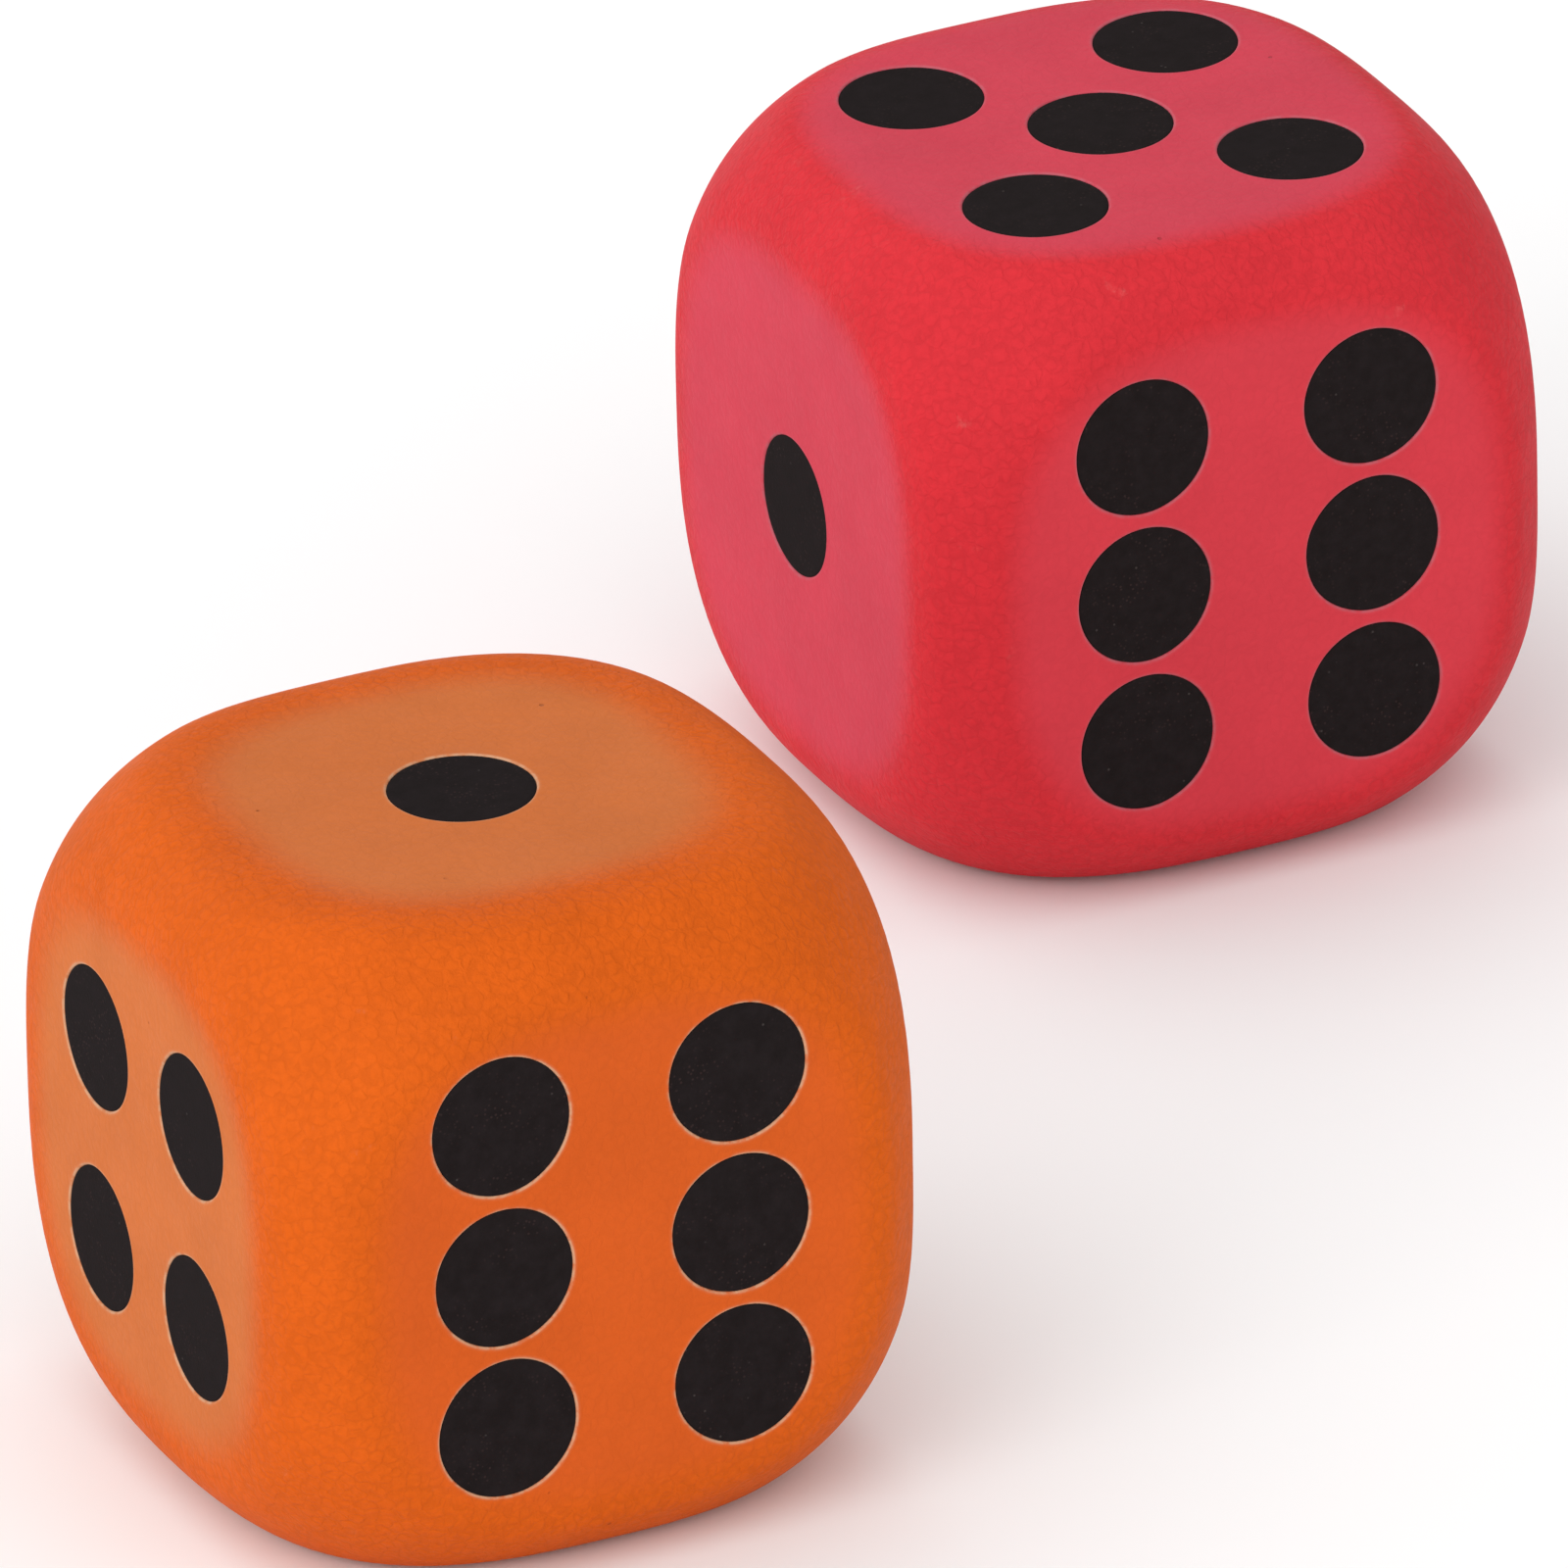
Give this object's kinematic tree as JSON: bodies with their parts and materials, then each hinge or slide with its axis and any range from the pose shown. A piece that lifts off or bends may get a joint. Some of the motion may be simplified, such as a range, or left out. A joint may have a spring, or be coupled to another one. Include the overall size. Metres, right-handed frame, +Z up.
{
  "type": "giant yard dice",
  "caption": "Pair of large soft lawn-game dice: rounded foam blocks in a thick satin skin, one orange and one red, with inset black pips.",
  "frame": {"origin": "on the ground, under the middle of the pair's bounding box", "axes": "+Z up; +X from the orange die towards the red one, along the pair's longest extent; -Y towards the face of each die that shows its six"},
  "size_m": [0.274, 0.2524, 0.1],
  "materials": {
    "orange_skin": "satin",
    "red_skin": "satin",
    "black_pip": "matte",
    "cream_foam": "matte"
  },
  "bodies": {
    "orange_die": {"orange_skin": "orange_skin", "orange_foam_core": "cream_foam", "orange_pip_one_1": "black_pip", "orange_pip_two_1": "black_pip", "orange_pip_two_2": "black_pip", "orange_pip_three_1": "black_pip", "orange_pip_three_2": "black_pip", "orange_pip_three_3": "black_pip", "orange_pip_four_1": "black_pip", "orange_pip_four_2": "black_pip", "orange_pip_four_3": "black_pip", "orange_pip_four_4": "black_pip", "orange_pip_five_1": "black_pip", "orange_pip_five_2": "black_pip", "orange_pip_five_3": "black_pip", "orange_pip_five_4": "black_pip", "orange_pip_five_5": "black_pip", "orange_pip_six_1": "black_pip", "orange_pip_six_2": "black_pip", "orange_pip_six_3": "black_pip", "orange_pip_six_4": "black_pip", "orange_pip_six_5": "black_pip", "orange_pip_six_6": "black_pip"},
    "red_die": {"red_skin": "red_skin", "red_foam_core": "cream_foam", "red_pip_one_1": "black_pip", "red_pip_two_1": "black_pip", "red_pip_two_2": "black_pip", "red_pip_three_1": "black_pip", "red_pip_three_2": "black_pip", "red_pip_three_3": "black_pip", "red_pip_four_1": "black_pip", "red_pip_four_2": "black_pip", "red_pip_four_3": "black_pip", "red_pip_four_4": "black_pip", "red_pip_five_1": "black_pip", "red_pip_five_2": "black_pip", "red_pip_five_3": "black_pip", "red_pip_five_4": "black_pip", "red_pip_five_5": "black_pip", "red_pip_six_1": "black_pip", "red_pip_six_2": "black_pip", "red_pip_six_3": "black_pip", "red_pip_six_4": "black_pip", "red_pip_six_5": "black_pip", "red_pip_six_6": "black_pip"}
  },
  "joints": [
    {"name": "red_die_lift", "type": "slide", "parent": "orange_die", "child": "red_die", "axis": [0, 0, 1], "range_m": [0, 0.2]}
  ]
}
